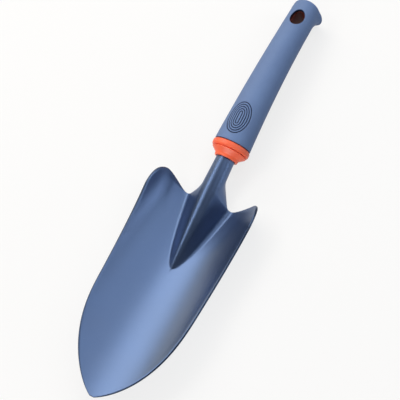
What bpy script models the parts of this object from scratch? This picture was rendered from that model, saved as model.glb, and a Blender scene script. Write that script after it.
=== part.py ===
# Garden hand trowel: a pressed steel blade whose neck is rolled into a tube, held in a
# moulded plastic core with a separate collar and a soft grip over it. Nothing on it moves.
#
# The trowel is drawn in its own tool frame, with the blade's point at the origin, +Y towards
# the butt and +Z out of the hollow of the blade. At the end it is laid on its back on the
# ground, z = 0, where it rests on the belly of the blade and on the heel of the grip.
import bpy
import numpy as np
from math import cos, pi, radians, sin, tan
from mathutils import Matrix

# Blade: outline
BLADE_HALF_WIDTH = 0.0406       # at the ears
SIDE_TAPER = 0.045              # each side comes in by this much per metre of length
EAR_START = 0.1455              # distance from the point at which the ears begin to round
POINT_LENGTH = 0.075            # length of the rounded point, up to the straight sides
POINT_FULLNESS = 2.62           # how early the rounded point reaches its width
POINT_ROUNDNESS = 0.80          # 0.5 is an ellipse's blunt end, 1 is a sharp one
TIP_FLAT = 0.0006               # the point's first strip, cut square
EAR_TOP_X = 0.0332
EAR_TOP_Y = 0.1669
EAR_ROUNDING = 0.0090           # the curve's pull along the side
EAR_TOP_ROUNDING = 0.0057       # and its pull both ways at the ear's top
NOTCH_X = 0.0172
NOTCH_Y = 0.1622
NOTCH_ROUNDING = 0.0045
NOTCH_RUN = 0.015               # the notch's edge runs out into the neck over this length
NOTCH_LAG = 0.0045              # the row that ends at the notch crosses the crest this far back

# Blade: hollow, ridge and sheet
SHEET = 0.0016
FLOOR_RADIUS = 1.65             # lengthwise bow of the hollow's floor
HOLLOW_RADIUS_POINT = 0.068     # crosswise radius at the point
HOLLOW_RADIUS_NECK = 0.0423     # crosswise radius where the blade meets the neck
RIDGE_START = 0.1062            # where the ridge's blunt nose rises out of the floor
RIDGE_PULL = 0.008              # how long the nose keeps its own slope
RIDGE_RISE = 0.55               # that slope, over the floor's
RIDGE_END_PULL = 0.042          # how early it takes up the neck's pitch
VALLEY_X = 0.0183               # valley's centre, level with the notch
VALLEY_SPREAD = 0.55            # the valleys open like a parabola; 1 would be a plain V
VALLEY_RADIUS = 0.0045
VALLEY_GROWTH = 0.4             # how fast that radius grows from the ridge's start
CREST_NOSE_RADIUS = 0.0024
CREST_RADIUS = 0.0078           # at the blade; it narrows to the tube's along the neck
RADIUS_ROOM = 0.93              # the share of the room there is that both radii may take

# Neck and tang: the sheet rolled into a tube, open along a seam underneath
TUBE_RADIUS = 0.007
SEAM_GAP = 0.0016
ROLL_START = 0.162              # the flanks begin to close here and meet at NECK_END
ROLL_POWER = 1.4                # over 1 closes them late
NECK_END = 0.1864               # crest of the tube at the collar's mouth
NECK_CREST = 0.0395             # its height over the point
NECK_PITCH = radians(20.0)
LEAN_START = 0.160              # cross-sections turn square to the neck from here on
TANG_LENGTH = 0.042             # from the collar's mouth into the handle

# Handle
HANDLE_LENGTH = 0.1360          # from the collar's mouth to the butt
BUTT_PITCH = radians(4.5)
GRIP_FRONT_RADIUS = 0.01375
GRIP_BUTT_RADIUS = 0.01050
GRIP_TAPER_POWER = 1.6          # over 1 tapers most next to the collar
GRIP_WALL = 0.0021
GRIP_END_WALL = 0.0035
GRIP_FRONT_EDGE = 0.0008
BUTT_EDGE = 0.0028
BUTT_CROWN = 0.0005
HEEL_LENGTH = 0.0140            # the heel's flare, measured back from the butt
HEEL_DROP = 0.0050
HEEL_POWER = 1.7
HEEL_SIDE = radians(72.0)       # measured round from the top: the flare starts here
HEEL_FULL = radians(140.0)      # and has its full depth from here down
HEEL_FLAT_DEPTH = 0.0004        # the small land on which the handle rests

# Hanging hole, an oval through grip and core
HOLE_FROM_BUTT = 0.0176
HOLE_HALF_WIDTH = 0.0051
HOLE_HALF_LENGTH = 0.0067
CORE_HOLE_INSET = 0.0004        # the core's hole is smaller than the grip's

# Collar: a turned ring with a rim, a groove, a cone and a lip round its mouth
COLLAR_LENGTH = 0.0108
COLLAR_LIP_RADIUS = 0.0088
COLLAR_LIP_LENGTH = 0.0022
COLLAR_CONE_RADIUS = 0.0131
COLLAR_RIM_RADIUS = 0.0141
COLLAR_RIM_LENGTH = 0.0042
COLLAR_GROOVE = 0.0006
COLLAR_EDGE = 0.0004

# Cross pin through core and tang
PIN_RADIUS = 0.00175
PIN_INSET = 0.0009              # each end lies this far below the core's surface
PIN_FROM_MOUTH = 0.030

CLEARANCE = 0.0003

# How finely the curves are divided
PIECES_AROUND = 32
HOLE_SIDES = 24
PIN_SIDES = 16
CURVE_POINTS = 400
NORMAL_STEP = 0.0002
CREST_COLUMNS = 3               # strips of each half of a section, from the crest outwards
FLANK_COLUMNS = 2
VALLEY_COLUMNS = 3
WING_COLUMNS = 5
BAND_LEAST = (0.06, 0.11, 0.18)     # the bands end at least this far along the half section
BAND_MOST = (0.30, 0.50, 0.75)      # and at most this far
POINT_ROWS = 13
POINT_ROW_SPREAD = 1.6          # over 1 sets the rows closer together at the tip
SIDE_ROWS = 5
RIDGE_ROWS = 13
RIDGE_ROW_SPREAD = 1.7          # over 1 sets the rows closer together at the ridge's nose
EAR_ROWS = 7
SHOULDER_ROWS = 7
NOTCH_ROWS = 9
NECK_ROWS = 5
TANG_ROWS = 5
GRIP_ROWS = 14
HEEL_ROWS = 5
CORE_ROWS = 16


# Small helpers

def smooth(t):
    """0 below 0, 1 above 1, and an S-curve in between."""
    t = np.clip(t, 0.0, 1.0)
    return t * t * (3.0 - 2.0 * t)


def bezier(p0, p1, p2, p3, count):
    t = np.linspace(0.0, 1.0, count)
    a = 1.0 - t
    weights = np.stack([a ** 3, 3.0 * a * a * t, 3.0 * a * t * t, t ** 3], axis=1)
    return weights @ np.array([p0, p1, p2, p3])


def material(name, color, roughness, metallic=0.0):
    mat = bpy.data.materials.new(name)
    mat.use_nodes = True
    shader = mat.node_tree.nodes["Principled BSDF"]
    shader.inputs["Base Color"].default_value = (*color, 1.0)
    shader.inputs["Roughness"].default_value = roughness
    shader.inputs["Metallic"].default_value = metallic
    return mat


def new_object(name, points, faces, mat=None):
    mesh = bpy.data.meshes.new(name)
    mesh.from_pydata([tuple(float(v) for v in p) for p in points], [], faces)
    mesh.validate()
    obj = bpy.data.objects.new(name, mesh)
    bpy.context.collection.objects.link(obj)
    if mat:
        mesh.materials.append(mat)
        mesh.shade_smooth()
        mesh.set_sharp_from_angle(angle=radians(35.0))
    return obj


def cutter(name, points, faces):
    obj = new_object(name, points, faces)
    obj.hide_render = True
    obj.display_type = "WIRE"
    return obj


def cut(obj, tool):
    mod = obj.modifiers.new("cut_" + tool.name, "BOOLEAN")
    mod.operation = "DIFFERENCE"
    mod.solver = "EXACT"
    mod.object = tool


def loft(rings):
    """Closed body through rings of equal length, each running the same way round."""
    count = len(rings[0])
    points = [p for ring in rings for p in ring]
    faces = []
    for i in range(len(rings) - 1):
        for j in range(count):
            k = (j + 1) % count
            a, b = i * count, (i + 1) * count
            faces.append((a + j, a + k, b + k, b + j))
    faces.append(tuple(range(count))[::-1])
    last = (len(rings) - 1) * count
    faces.append(tuple(last + j for j in range(count)))
    return points, faces


# Blade: cross-sections
#
# A section runs from its crest outwards along the sheet: the crest's arc, a straight flank,
# the valley's arc and the wing, which is a circle about the hollow's axis. q is the distance
# along the sheet from the crest, and c the station along the blade.

def floor_height(c):
    return c * c / (2.0 * FLOOR_RADIUS)


def hollow_radius(c):
    share = np.minimum(c / NOTCH_Y, 1.0)
    return HOLLOW_RADIUS_POINT + (HOLLOW_RADIUS_NECK - HOLLOW_RADIUS_POINT) * share


def crest_curve():
    start = (RIDGE_START, floor_height(RIDGE_START))
    rise = floor_height(RIDGE_START + RIDGE_PULL) + RIDGE_RISE * RIDGE_PULL
    end = (NECK_END, NECK_CREST)
    bend = (NECK_END - RIDGE_END_PULL, NECK_CREST - RIDGE_END_PULL * tan(NECK_PITCH))
    return bezier(start, (RIDGE_START + RIDGE_PULL, rise), bend, end, CURVE_POINTS)


def crest_height(c):
    curve = crest_curve()
    along = np.interp(c, curve[:, 0], curve[:, 1])
    tube = NECK_CREST + (c - NECK_END) * tan(NECK_PITCH)
    return np.where(c < RIDGE_START, floor_height(c), np.where(c > NECK_END, tube, along))


def ridge(c):
    """The ridge's radii, its flank's angle and length, and the angle where the wing starts."""
    spread = np.clip((c - RIDGE_START) / (NOTCH_Y - RIDGE_START), 1e-4, 1.0)
    valley = VALLEY_X * spread ** VALLEY_SPREAD
    height = np.maximum(crest_height(c) - floor_height(c), 1e-6)
    room = (valley ** 2 + height ** 2) / (2.0 * height)
    crest_r = CREST_NOSE_RADIUS + (CREST_RADIUS - CREST_NOSE_RADIUS) * spread
    valley_r = VALLEY_RADIUS * spread ** VALLEY_GROWTH
    fit = np.minimum(1.0, RADIUS_ROOM * room / (crest_r + valley_r))
    crest_r = crest_r * fit
    valley_r = valley_r * fit
    hollow = hollow_radius(c)
    wing = np.arcsin(valley / (hollow - valley_r))
    across = valley
    down = height - crest_r - hollow + (hollow - valley_r) * np.cos(wing)
    apart = np.hypot(across, down)
    flank = np.arcsin(np.minimum((crest_r + valley_r) / apart, 1.0)) + np.arctan2(down, across)
    length = np.sqrt(np.maximum(apart ** 2 - (crest_r + valley_r) ** 2, 0.0))
    present = c > RIDGE_START
    zero = np.zeros_like(c)
    return (np.where(present, crest_r, TUBE_RADIUS), np.where(present, valley_r, VALLEY_RADIUS),
            np.where(present, flank, zero), np.where(present, length, zero),
            np.where(present, wing, zero))


def section_values(c):
    """Everything that shapes the section at each station, including the rolled neck."""
    crest_r, valley_r, flank, length, wing = ridge(np.minimum(c, ROLL_START))
    rolled = np.clip((c - ROLL_START) / (NECK_END - ROLL_START), 0.0, 1.0)
    flank = flank + (pi - flank) * rolled ** ROLL_POWER
    crest_r = crest_r + (TUBE_RADIUS - crest_r) * smooth(rolled)
    lean = NECK_PITCH * smooth((c - LEAN_START) / (NECK_END - LEAN_START))
    return crest_r, valley_r, flank, length, wing, hollow_radius(c), lean


def across_and_down(q, values):
    """Offset from the crest at distance q along the sheet: sideways, and down the section."""
    crest_r, valley_r, flank, length, wing, hollow, _ = values
    arc = np.minimum(q, crest_r * flank)
    x = crest_r * np.sin(arc / crest_r)
    down = crest_r * (1.0 - np.cos(arc / crest_r))
    run = np.clip(q - crest_r * flank, 0.0, length)
    x = x + run * np.cos(flank)
    down = down + run * np.sin(flank)
    back = np.clip(q - crest_r * flank - length, 0.0, valley_r * (flank + wing))
    angle = flank - back / valley_r
    x = x + valley_r * (np.sin(flank) - np.sin(angle))
    down = down + valley_r * (np.cos(angle) - np.cos(flank))
    out = np.maximum(q - crest_r * flank - length - valley_r * (flank + wing), 0.0)
    x = x + hollow * (np.sin(wing + out / hollow) - np.sin(wing))
    down = down - hollow * (np.cos(wing) - np.cos(wing + out / hollow))
    return x, down


def sheet_point(q, c):
    """Front surface of the sheet, at distance q from the crest and station c."""
    values = section_values(c)
    x, down = across_and_down(np.abs(q), values)
    lean = values[-1]
    y = c + down * np.sin(lean)
    z = crest_height(c) - down * np.cos(lean)
    return np.stack([np.sign(q) * x, y, z], axis=-1)


# Blade: outline, as distance along the sheet and station, from the point to the tang's end

def half_width(y):
    along = 1.0 - np.minimum(y / POINT_LENGTH, 1.0)
    full = BLADE_HALF_WIDTH - SIDE_TAPER * (EAR_START - y)
    return full * (1.0 - along ** POINT_FULLNESS) ** POINT_ROUNDNESS


def sheet_distance(x, c):
    """The distance along the sheet at which the section at station c reaches x."""
    q = np.linspace(0.0, 2.0 * BLADE_HALF_WIDTH, CURVE_POINTS)
    stations = np.full_like(q, c)
    reach, _ = across_and_down(q, section_values(stations))
    widest = int(np.argmax(reach))
    return float(np.interp(x, np.maximum.accumulate(reach[:widest + 1]), q[:widest + 1]))


def outline():
    """Rows of (distance along the sheet, station at the edge, station at the crest)."""
    share = np.linspace(0.0, 1.0, POINT_ROWS + 1)[:-1]
    point = TIP_FLAT + (POINT_LENGTH - TIP_FLAT) * share ** POINT_ROW_SPREAD
    side = np.linspace(POINT_LENGTH, RIDGE_START, SIDE_ROWS + 1)[:-1]
    share = np.linspace(0.0, 1.0, RIDGE_ROWS + 1)[:-1]
    beside = RIDGE_START + (EAR_START - RIDGE_START) * share ** RIDGE_ROW_SPREAD
    stations = np.concatenate([point, side, beside])
    rows = [(sheet_distance(half_width(c), c), c, c) for c in stations]

    corner = (BLADE_HALF_WIDTH, EAR_START)
    ear_top = (EAR_TOP_X, EAR_TOP_Y)
    notch = (NOTCH_X, NOTCH_Y)
    ear = bezier(corner, (BLADE_HALF_WIDTH, EAR_START + EAR_ROUNDING),
                 (EAR_TOP_X + EAR_TOP_ROUNDING, EAR_TOP_Y), ear_top, EAR_ROWS + 1)[:-1]
    shoulder = bezier(ear_top, (EAR_TOP_X - EAR_TOP_ROUNDING, EAR_TOP_Y),
                      (NOTCH_X + NOTCH_ROUNDING, NOTCH_Y), notch, SHOULDER_ROWS + 1)
    rim = np.vstack([ear, shoulder])
    run_end = NOTCH_Y + NOTCH_RUN
    crest = np.linspace(EAR_START, NOTCH_Y - NOTCH_LAG, len(rim))
    rows += [(sheet_distance(x, c), c, k) for (x, c), k in zip(rim, crest)]

    strip = pi * TUBE_RADIUS - 0.5 * SEAM_GAP
    notch_q = rows[-1][0]
    run = bezier((notch_q, NOTCH_Y), (notch_q - NOTCH_ROUNDING, NOTCH_Y),
                 (strip, NOTCH_Y + NOTCH_ROUNDING), (strip, run_end), NOTCH_ROWS + 1)[1:]
    crest = np.linspace(NOTCH_Y - NOTCH_LAG, run_end, NOTCH_ROWS + 1)[1:]
    rows += [(q, c, k) for (q, c), k in zip(run, crest)]

    tang_end = NECK_END + TANG_LENGTH * cos(NECK_PITCH)
    neck = np.linspace(run_end, NECK_END, NECK_ROWS + 1)[1:]
    tang = np.linspace(NECK_END, tang_end, TANG_ROWS + 1)[1:]
    rows += [(strip, c, c) for c in np.concatenate([neck, tang])]
    return np.array(rows)


def band_ends(c):
    """Distances from the crest at which its arc, the flank and the valley's arc end."""
    crest_r, valley_r, flank, length, wing, _, _ = section_values(c)
    crest_end = crest_r * flank
    flank_end = crest_end + length
    return crest_end, flank_end, flank_end + valley_r * (flank + wing)


def half_grid():
    """Distance and station over one half: its columns follow the ridge's flank and valley."""
    edge = outline()
    reach, station, crest = (edge[:, k:k + 1] for k in range(3))
    bands = (CREST_COLUMNS, FLANK_COLUMNS, VALLEY_COLUMNS, WING_COLUMNS)
    even = np.linspace(0.0, 1.0, sum(bands) + 1)[None, :]
    c = crest + (station - crest) * even * even
    near = np.zeros_like(c)
    columns = [near[:, :1]]
    first = 0
    ends = [np.clip(end / reach, least, most)
            for end, least, most in zip(band_ends(c), BAND_LEAST, BAND_MOST)]
    for count, end in zip(bands, ends + [np.ones_like(c)]):
        for step in range(1, count + 1):
            k = first + step
            columns.append((near[:, k] + (end[:, k] - near[:, k]) * step / count)[:, None])
        first += count
        near = end
    return np.hstack(columns) * reach, c


def full_grid():
    """Both halves side by side: a row for each point of the outline, bent towards the ears."""
    q, c = half_grid()
    return np.hstack([-q[:, :0:-1], q]), np.hstack([c[:, :0:-1], c])


def sheet_normals(q, c):
    """Unit normals from the slopes of the surface across and along it."""
    across = sheet_point(q + NORMAL_STEP, c) - sheet_point(q - NORMAL_STEP, c)
    along = sheet_point(q, c + NORMAL_STEP) - sheet_point(q, c - NORMAL_STEP)
    normal = np.cross(across, along)
    return normal / np.linalg.norm(normal, axis=-1, keepdims=True)


def make_blade(mat):
    q, c = full_grid()
    front = sheet_point(q, c)
    back = front - SHEET * sheet_normals(q, c)
    rows, columns, _ = front.shape
    points = np.vstack([front.reshape(-1, 3), back.reshape(-1, 3)])
    shift = rows * columns
    faces = []
    for i in range(rows - 1):
        for j in range(columns - 1):
            a = i * columns + j
            quad = (a, a + 1, a + columns + 1, a + columns)
            faces.append(quad)
            faces.append(tuple(shift + k for k in reversed(quad)))
    border = list(range(columns))
    border += [i * columns + columns - 1 for i in range(1, rows)]
    border += [(rows - 1) * columns + j for j in range(columns - 2, -1, -1)]
    border += [i * columns for i in range(rows - 2, 0, -1)]
    for a, b in zip(border, border[1:] + border[:1]):
        faces.append((b, a, a + shift, b + shift))
    return new_object("blade", points, faces, mat)


# Handle: its centre line runs straight through the collar, then in one arc to the butt

SIDEWAYS = np.array([1.0, 0.0, 0.0])
UP = np.array([0.0, 0.0, 1.0])
FORWARD = np.array([0.0, 1.0, 0.0])
MOUTH = np.array([0.0, NECK_END + TUBE_RADIUS * sin(NECK_PITCH),
                  NECK_CREST - TUBE_RADIUS * cos(NECK_PITCH)])
GRIP_START = COLLAR_LENGTH + CLEARANCE


def along_pitch(pitch):
    return FORWARD * cos(pitch) + UP * sin(pitch)


def handle_frame(s):
    """Centre, direction and upward normal at distance s from the collar's mouth."""
    start = MOUTH + GRIP_START * along_pitch(NECK_PITCH)
    if s <= GRIP_START:
        pitch = NECK_PITCH
        centre = MOUTH + s * along_pitch(pitch)
    else:
        turn = (NECK_PITCH - BUTT_PITCH) / (HANDLE_LENGTH - GRIP_START)
        pitch = NECK_PITCH - turn * (s - GRIP_START)
        arc = FORWARD * (sin(NECK_PITCH) - sin(pitch)) + UP * (cos(pitch) - cos(NECK_PITCH))
        centre = start + arc / turn
    return centre, along_pitch(pitch), UP * cos(pitch) - FORWARD * sin(pitch)


def grip_radius(s):
    left = 1.0 - np.clip((s - GRIP_START) / (HANDLE_LENGTH - GRIP_START), 0.0, 1.0)
    return GRIP_BUTT_RADIUS + (GRIP_FRONT_RADIUS - GRIP_BUTT_RADIUS) * left ** GRIP_TAPER_POWER


def around(count):
    """Angles from the top of a section, clockwise seen from the butt."""
    return 2.0 * pi * np.arange(count) / count


def heel_share(angle):
    """1 on the underside, 0 on top."""
    from_top = pi - np.abs(angle - pi)
    return smooth((from_top - HEEL_SIDE) / (HEEL_FULL - HEEL_SIDE))


def ring(s, radius):
    """One ring of the handle. radius is a number or one value for each angle."""
    centre, _, normal = handle_frame(s)
    angle = around(PIECES_AROUND)
    return centre + np.outer(radius * np.sin(angle), SIDEWAYS) + np.outer(radius * np.cos(angle), normal)


def heel_flare(s):
    begin = HANDLE_LENGTH - HEEL_LENGTH
    share = np.clip((s - begin) / (HEEL_LENGTH - 0.5 * BUTT_EDGE), 0.0, 1.0)
    return HEEL_DROP * share ** HEEL_POWER


def rounding(radius, steps):
    """A quarter circle as (distance from the end face, distance below the full radius)."""
    turns = np.linspace(0.0, 0.5 * pi, steps + 1)
    return [(radius * (1.0 - sin(t)), radius * (1.0 - cos(t))) for t in turns]


def grip_rings():
    share = heel_share(around(PIECES_AROUND))
    heel_start = HANDLE_LENGTH - HEEL_LENGTH
    rings = []
    for back, inward in reversed(rounding(GRIP_FRONT_EDGE, 2)):
        s = GRIP_START + back
        rings.append(ring(s, grip_radius(s) - inward))
    for s in np.linspace(GRIP_START + GRIP_FRONT_EDGE, heel_start, GRIP_ROWS + 1)[1:]:
        rings.append(ring(s, grip_radius(s)))
    for s in np.linspace(heel_start, HANDLE_LENGTH - BUTT_EDGE, HEEL_ROWS + 1)[1:]:
        rings.append(ring(s, grip_radius(s) + heel_flare(s) * share))
    full = grip_radius(HANDLE_LENGTH) + HEEL_DROP * share
    for back, inward in rounding(BUTT_EDGE, 3)[1:]:
        rings.append(ring(HANDLE_LENGTH - back, full - inward))
    rings.append(ring(HANDLE_LENGTH + BUTT_CROWN, 0.5 * (full - BUTT_EDGE)))
    return rings


def core_radius(s):
    return grip_radius(s) - GRIP_WALL - CLEARANCE


def core_end():
    return HANDLE_LENGTH - GRIP_END_WALL - CLEARANCE


def make_grip(mat):
    outer = grip_rings()
    inner = [ring(s, core_radius(s) + CLEARANCE)
             for s in np.linspace(core_end() + CLEARANCE, GRIP_START, CORE_ROWS)]
    points, faces = loft(outer + inner)
    # the loft's two end faces become the butt's crown and the bottom of the bore, and the
    # front annulus closes the grip round the bore
    faces = faces[:-2]
    count = PIECES_AROUND
    seam = len(outer) * count
    faces = [f for f in faces if not (min(f) < seam <= max(f))]
    last = (len(outer) + len(inner) - 1) * count
    for j in range(count):
        k = (j + 1) % count
        faces.append((k, j, last + j, last + k))
    faces.append(tuple(seam - count + j for j in range(count)))
    faces.append(tuple(seam + j for j in range(count))[::-1])
    return new_object("grip", points, faces, mat)


def make_core(mat):
    stations = np.linspace(GRIP_START, core_end(), CORE_ROWS)
    return new_object("handle_core", *loft([ring(s, core_radius(s)) for s in stations]), mat)


def collar_profile():
    """Half section of the collar: (distance from the mouth, radius), inside first."""
    bore = TUBE_RADIUS + CLEARANCE
    rim = COLLAR_LENGTH - COLLAR_RIM_LENGTH
    return [
        (COLLAR_LENGTH, bore),
        (COLLAR_EDGE, bore),
        (0.0, bore + COLLAR_EDGE),
        (0.0, COLLAR_LIP_RADIUS - COLLAR_EDGE),
        (COLLAR_EDGE, COLLAR_LIP_RADIUS),
        (COLLAR_LIP_LENGTH, COLLAR_LIP_RADIUS + COLLAR_EDGE),
        (rim - 2.0 * COLLAR_GROOVE, COLLAR_CONE_RADIUS),
        (rim - COLLAR_GROOVE, COLLAR_CONE_RADIUS - COLLAR_GROOVE),
        (rim, COLLAR_RIM_RADIUS - COLLAR_EDGE),
        (rim + 2.0 * COLLAR_EDGE, COLLAR_RIM_RADIUS),
        (COLLAR_LENGTH - 2.0 * COLLAR_EDGE, COLLAR_RIM_RADIUS),
        (COLLAR_LENGTH, COLLAR_RIM_RADIUS - 2.0 * COLLAR_EDGE),
    ]


def make_collar(mat):
    profile = collar_profile()
    count = PIECES_AROUND
    points = [p for s, radius in profile for p in ring(s, radius)]
    faces = []
    for i in range(len(profile)):
        a, b = i * count, ((i + 1) % len(profile)) * count
        for j in range(count):
            k = (j + 1) % count
            faces.append((a + j, b + j, b + k, a + k)[::-1])
    return new_object("collar", points, faces, mat)


# Cutters and the pin

def tang_socket():
    """A tube with the tang's wall and a clearance all round, open at the core's front."""
    outer = TUBE_RADIUS + CLEARANCE
    inner = TUBE_RADIUS - SHEET - CLEARANCE
    begin = GRIP_START - SHEET
    end = TANG_LENGTH + CLEARANCE
    _, direction, normal = handle_frame(0.0)
    rings = []
    for s, radius in ((begin, inner), (begin, outer), (end, outer), (end, inner)):
        centre = MOUTH + s * direction
        turns = around(PIECES_AROUND)
        rings.append([centre + radius * (sin(a) * SIDEWAYS + cos(a) * normal) for a in turns])
    points, faces = loft(rings)
    first, last = 0, 3 * PIECES_AROUND
    faces = faces[:-2]
    for j in range(PIECES_AROUND):
        k = (j + 1) % PIECES_AROUND
        faces.append((last + j, last + k, first + k, first + j))
    return cutter("tang_socket_cutter", points, faces)


def oval_cutter(name, inset):
    centre, direction, normal = handle_frame(HANDLE_LENGTH - HOLE_FROM_BUTT)
    reach = 2.0 * GRIP_FRONT_RADIUS
    rings = []
    for height in (-reach, reach):
        loop = []
        for a in around(HOLE_SIDES):
            across = (HOLE_HALF_WIDTH - inset) * cos(a) * SIDEWAYS
            along = (HOLE_HALF_LENGTH - inset) * sin(a) * direction
            loop.append(centre + height * normal + across + along)
        rings.append(loop)
    return cutter(name, *loft(rings))


def cross_rod(half_length, radius):
    centre = MOUTH + PIN_FROM_MOUTH * along_pitch(NECK_PITCH)
    rings = []
    for x in (-half_length, half_length):
        turns = around(PIN_SIDES)
        rings.append([centre + np.array([x, -radius * sin(a), radius * cos(a)]) for a in turns])
    return loft(rings)


def pin_half_length():
    return float(core_radius(PIN_FROM_MOUTH)) - PIN_INSET


def make_pin(mat):
    return new_object("tang_pin", *cross_rod(pin_half_length(), PIN_RADIUS), mat)


# Laying the trowel on its back

def resting_place(blade, grip):
    """Rotation and shift that set the blade's belly and the heel's land on z = 0."""
    belly = np.array([v.co for v in blade.data.vertices])
    heel = np.array([v.co for v in grip.data.vertices])
    heel = heel[heel[:, 1] > MOUTH[1] + HANDLE_LENGTH - 2.0 * HEEL_LENGTH]
    pitch = NECK_PITCH * 0.5
    for _ in range(8):
        height = heel[:, 2] * cos(pitch) - heel[:, 1] * sin(pitch)
        low = heel[int(np.argmin(height))]
        z = low[2] + HEEL_FLAT_DEPTH / cos(pitch)
        pitch = float(np.arctan(np.max((z - belly[:, 2]) / (low[1] - belly[:, 1]))))
    turn = Matrix.Rotation(-pitch, 4, "X")
    turned = belly @ np.array(turn.to_3x3()).T
    turned_grip = np.array([v.co for v in grip.data.vertices]) @ np.array(turn.to_3x3()).T
    middle = 0.5 * (turned[:, 1].min() + turned_grip[:, 1].max())
    return Matrix.Translation((0.0, -middle, -turned[:, 2].min())) @ turn


def ground_cutter():
    """A block under the ground, which trims the heel to its land."""
    half = GRIP_FRONT_RADIUS + HEEL_DROP
    far = HANDLE_LENGTH + NECK_END
    points = []
    for z in (-half, 0.0):
        points += [(-half, 0.0, z), (half, 0.0, z), (half, far, z), (-half, far, z)]
    faces = [(0, 3, 2, 1), (4, 5, 6, 7), (0, 1, 5, 4), (1, 2, 6, 5), (2, 3, 7, 6), (3, 0, 4, 7)]
    return cutter("ground_cutter", points, faces)


def build():
    for obj in list(bpy.data.objects):
        bpy.data.objects.remove(obj)
    coated_steel = material("coated_steel", (0.085, 0.135, 0.245), 0.42, 0.15)
    soft_rubber = material("soft_rubber", (0.075, 0.115, 0.20), 0.75)
    orange_plastic = material("orange_plastic", (0.85, 0.14, 0.05), 0.45)
    pin_steel = material("pin_steel", (0.55, 0.55, 0.56), 0.35, 1.0)

    blade = make_blade(coated_steel)
    grip = make_grip(soft_rubber)
    core = make_core(orange_plastic)
    collar = make_collar(orange_plastic)
    pin = make_pin(pin_steel)

    socket = tang_socket()
    grip_hole = oval_cutter("grip_hole_cutter", 0.0)
    core_hole = oval_cutter("core_hole_cutter", CORE_HOLE_INSET)
    pin_hole = cutter("pin_hole_cutter", *cross_rod(GRIP_FRONT_RADIUS, PIN_RADIUS + CLEARANCE))
    tools = [socket, grip_hole, core_hole, pin_hole]

    place = resting_place(blade, grip)
    for obj in [blade, grip, core, collar, pin] + tools:
        obj.data.transform(place)
        obj.data.update()

    cut(blade, pin_hole)
    cut(core, socket)
    cut(core, core_hole)
    cut(core, pin_hole)
    cut(grip, grip_hole)
    cut(grip, ground_cutter())


build()
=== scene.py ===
import math
import bmesh
import bpy
import numpy as np
from mathutils import Matrix


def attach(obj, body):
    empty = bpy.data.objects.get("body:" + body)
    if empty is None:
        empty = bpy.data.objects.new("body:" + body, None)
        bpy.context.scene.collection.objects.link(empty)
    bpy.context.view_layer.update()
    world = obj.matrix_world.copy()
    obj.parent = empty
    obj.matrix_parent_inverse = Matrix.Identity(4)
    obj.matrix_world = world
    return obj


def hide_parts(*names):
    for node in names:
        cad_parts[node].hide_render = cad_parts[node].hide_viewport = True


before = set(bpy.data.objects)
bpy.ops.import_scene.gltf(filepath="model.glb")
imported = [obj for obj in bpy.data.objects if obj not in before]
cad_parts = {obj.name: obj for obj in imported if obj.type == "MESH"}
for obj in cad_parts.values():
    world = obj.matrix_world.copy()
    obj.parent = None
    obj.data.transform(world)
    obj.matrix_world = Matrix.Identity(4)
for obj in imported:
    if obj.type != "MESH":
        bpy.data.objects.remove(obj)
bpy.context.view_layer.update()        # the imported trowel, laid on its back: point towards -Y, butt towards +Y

print("frame loaded:", ", ".join(sorted(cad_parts)))


# Shared sizes, in metres and degrees. The tool is drawn along Y from its point at the origin,
# and laid down on its belly and heel at the end.
tool = {
    "sheet": 0.0016,              # thickness of the pressed steel
    "tubeRadius": 0.007,          # the rolled neck
    "neckEnd": 0.1864,            # crest of the tube at the collar's mouth
    "neckCrest": 0.0395,
    "neckPitch": 20.0,
    "buttPitch": 4.5,
    "collarLength": 0.0108,
    "handleLength": 0.1360,       # from the collar's mouth to the butt
    "gap": 0.0003,                # between the pieces
    "restPitch": 13.243354,       # the whole tool tips forward by this much when it lies down
    "restBack": -0.16411380,
    "restUp": 0.02640184,
}

neckPitch = math.radians(tool["neckPitch"])
sideways = np.array([1.0, 0.0, 0.0])
mouth = np.array([0.0, tool["neckEnd"] + tool["tubeRadius"] * math.sin(neckPitch),
                  tool["neckCrest"] - tool["tubeRadius"] * math.cos(neckPitch)])
gripStart = tool["collarLength"] + tool["gap"]

mergeDistance = 2e-6              # points closer than this become one
thinEdge = 1e-7                   # edges shorter than this are dissolved


# Helpers

# S-curve: 0 below 0, 1 above 1, and t * t * (3 - 2t) in between.
def smooth(t):
    t = np.clip(t, 0.0, 1.0)
    return t * t * (3.0 - 2.0 * t)


# Cubic Bezier: the sum of the four points weighted by (1-t)^3, 3(1-t)^2 t, 3(1-t) t^2 and t^3.
def bezier(p0, p1, p2, p3, count):
    t = np.linspace(0.0, 1.0, count)
    a = 1.0 - t
    weights = np.stack([a ** 3, 3.0 * a * a * t, 3.0 * a * t * t, t ** 3], axis=1)
    return weights @ np.array([p0, p1, p2, p3])


# Turns points about X by minus the resting pitch, then moves them back and up.
def layDown(points):
    pitch = math.radians(tool["restPitch"])
    x, y, z = points[..., 0], points[..., 1], points[..., 2]
    back = y * math.cos(pitch) + z * math.sin(pitch) + tool["restBack"]
    up = z * math.cos(pitch) - y * math.sin(pitch) + tool["restUp"]
    return np.stack([x, back, up], axis=-1)


# Quads of a grid of points stored row by row. Closed joins the last column to the first.
# holes is a list of (first row, last row, first column, last column) left open.
def gridFaces(rows, columns, closed, holes=()):
    cells = columns if closed else columns - 1
    i, j = np.meshgrid(np.arange(rows - 1), np.arange(cells), indexing="ij")
    k = (j + 1) % columns
    this = i * columns
    below = (i + 1) * columns
    quads = np.stack([this + j, this + k, below + k, below + j], axis=-1)
    keep = np.ones(i.shape, bool)
    for top, bottom, left, right in holes:
        keep &= ~((i >= top) & (i < bottom) & (j >= left) & (j < right))
    return quads[keep]


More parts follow.
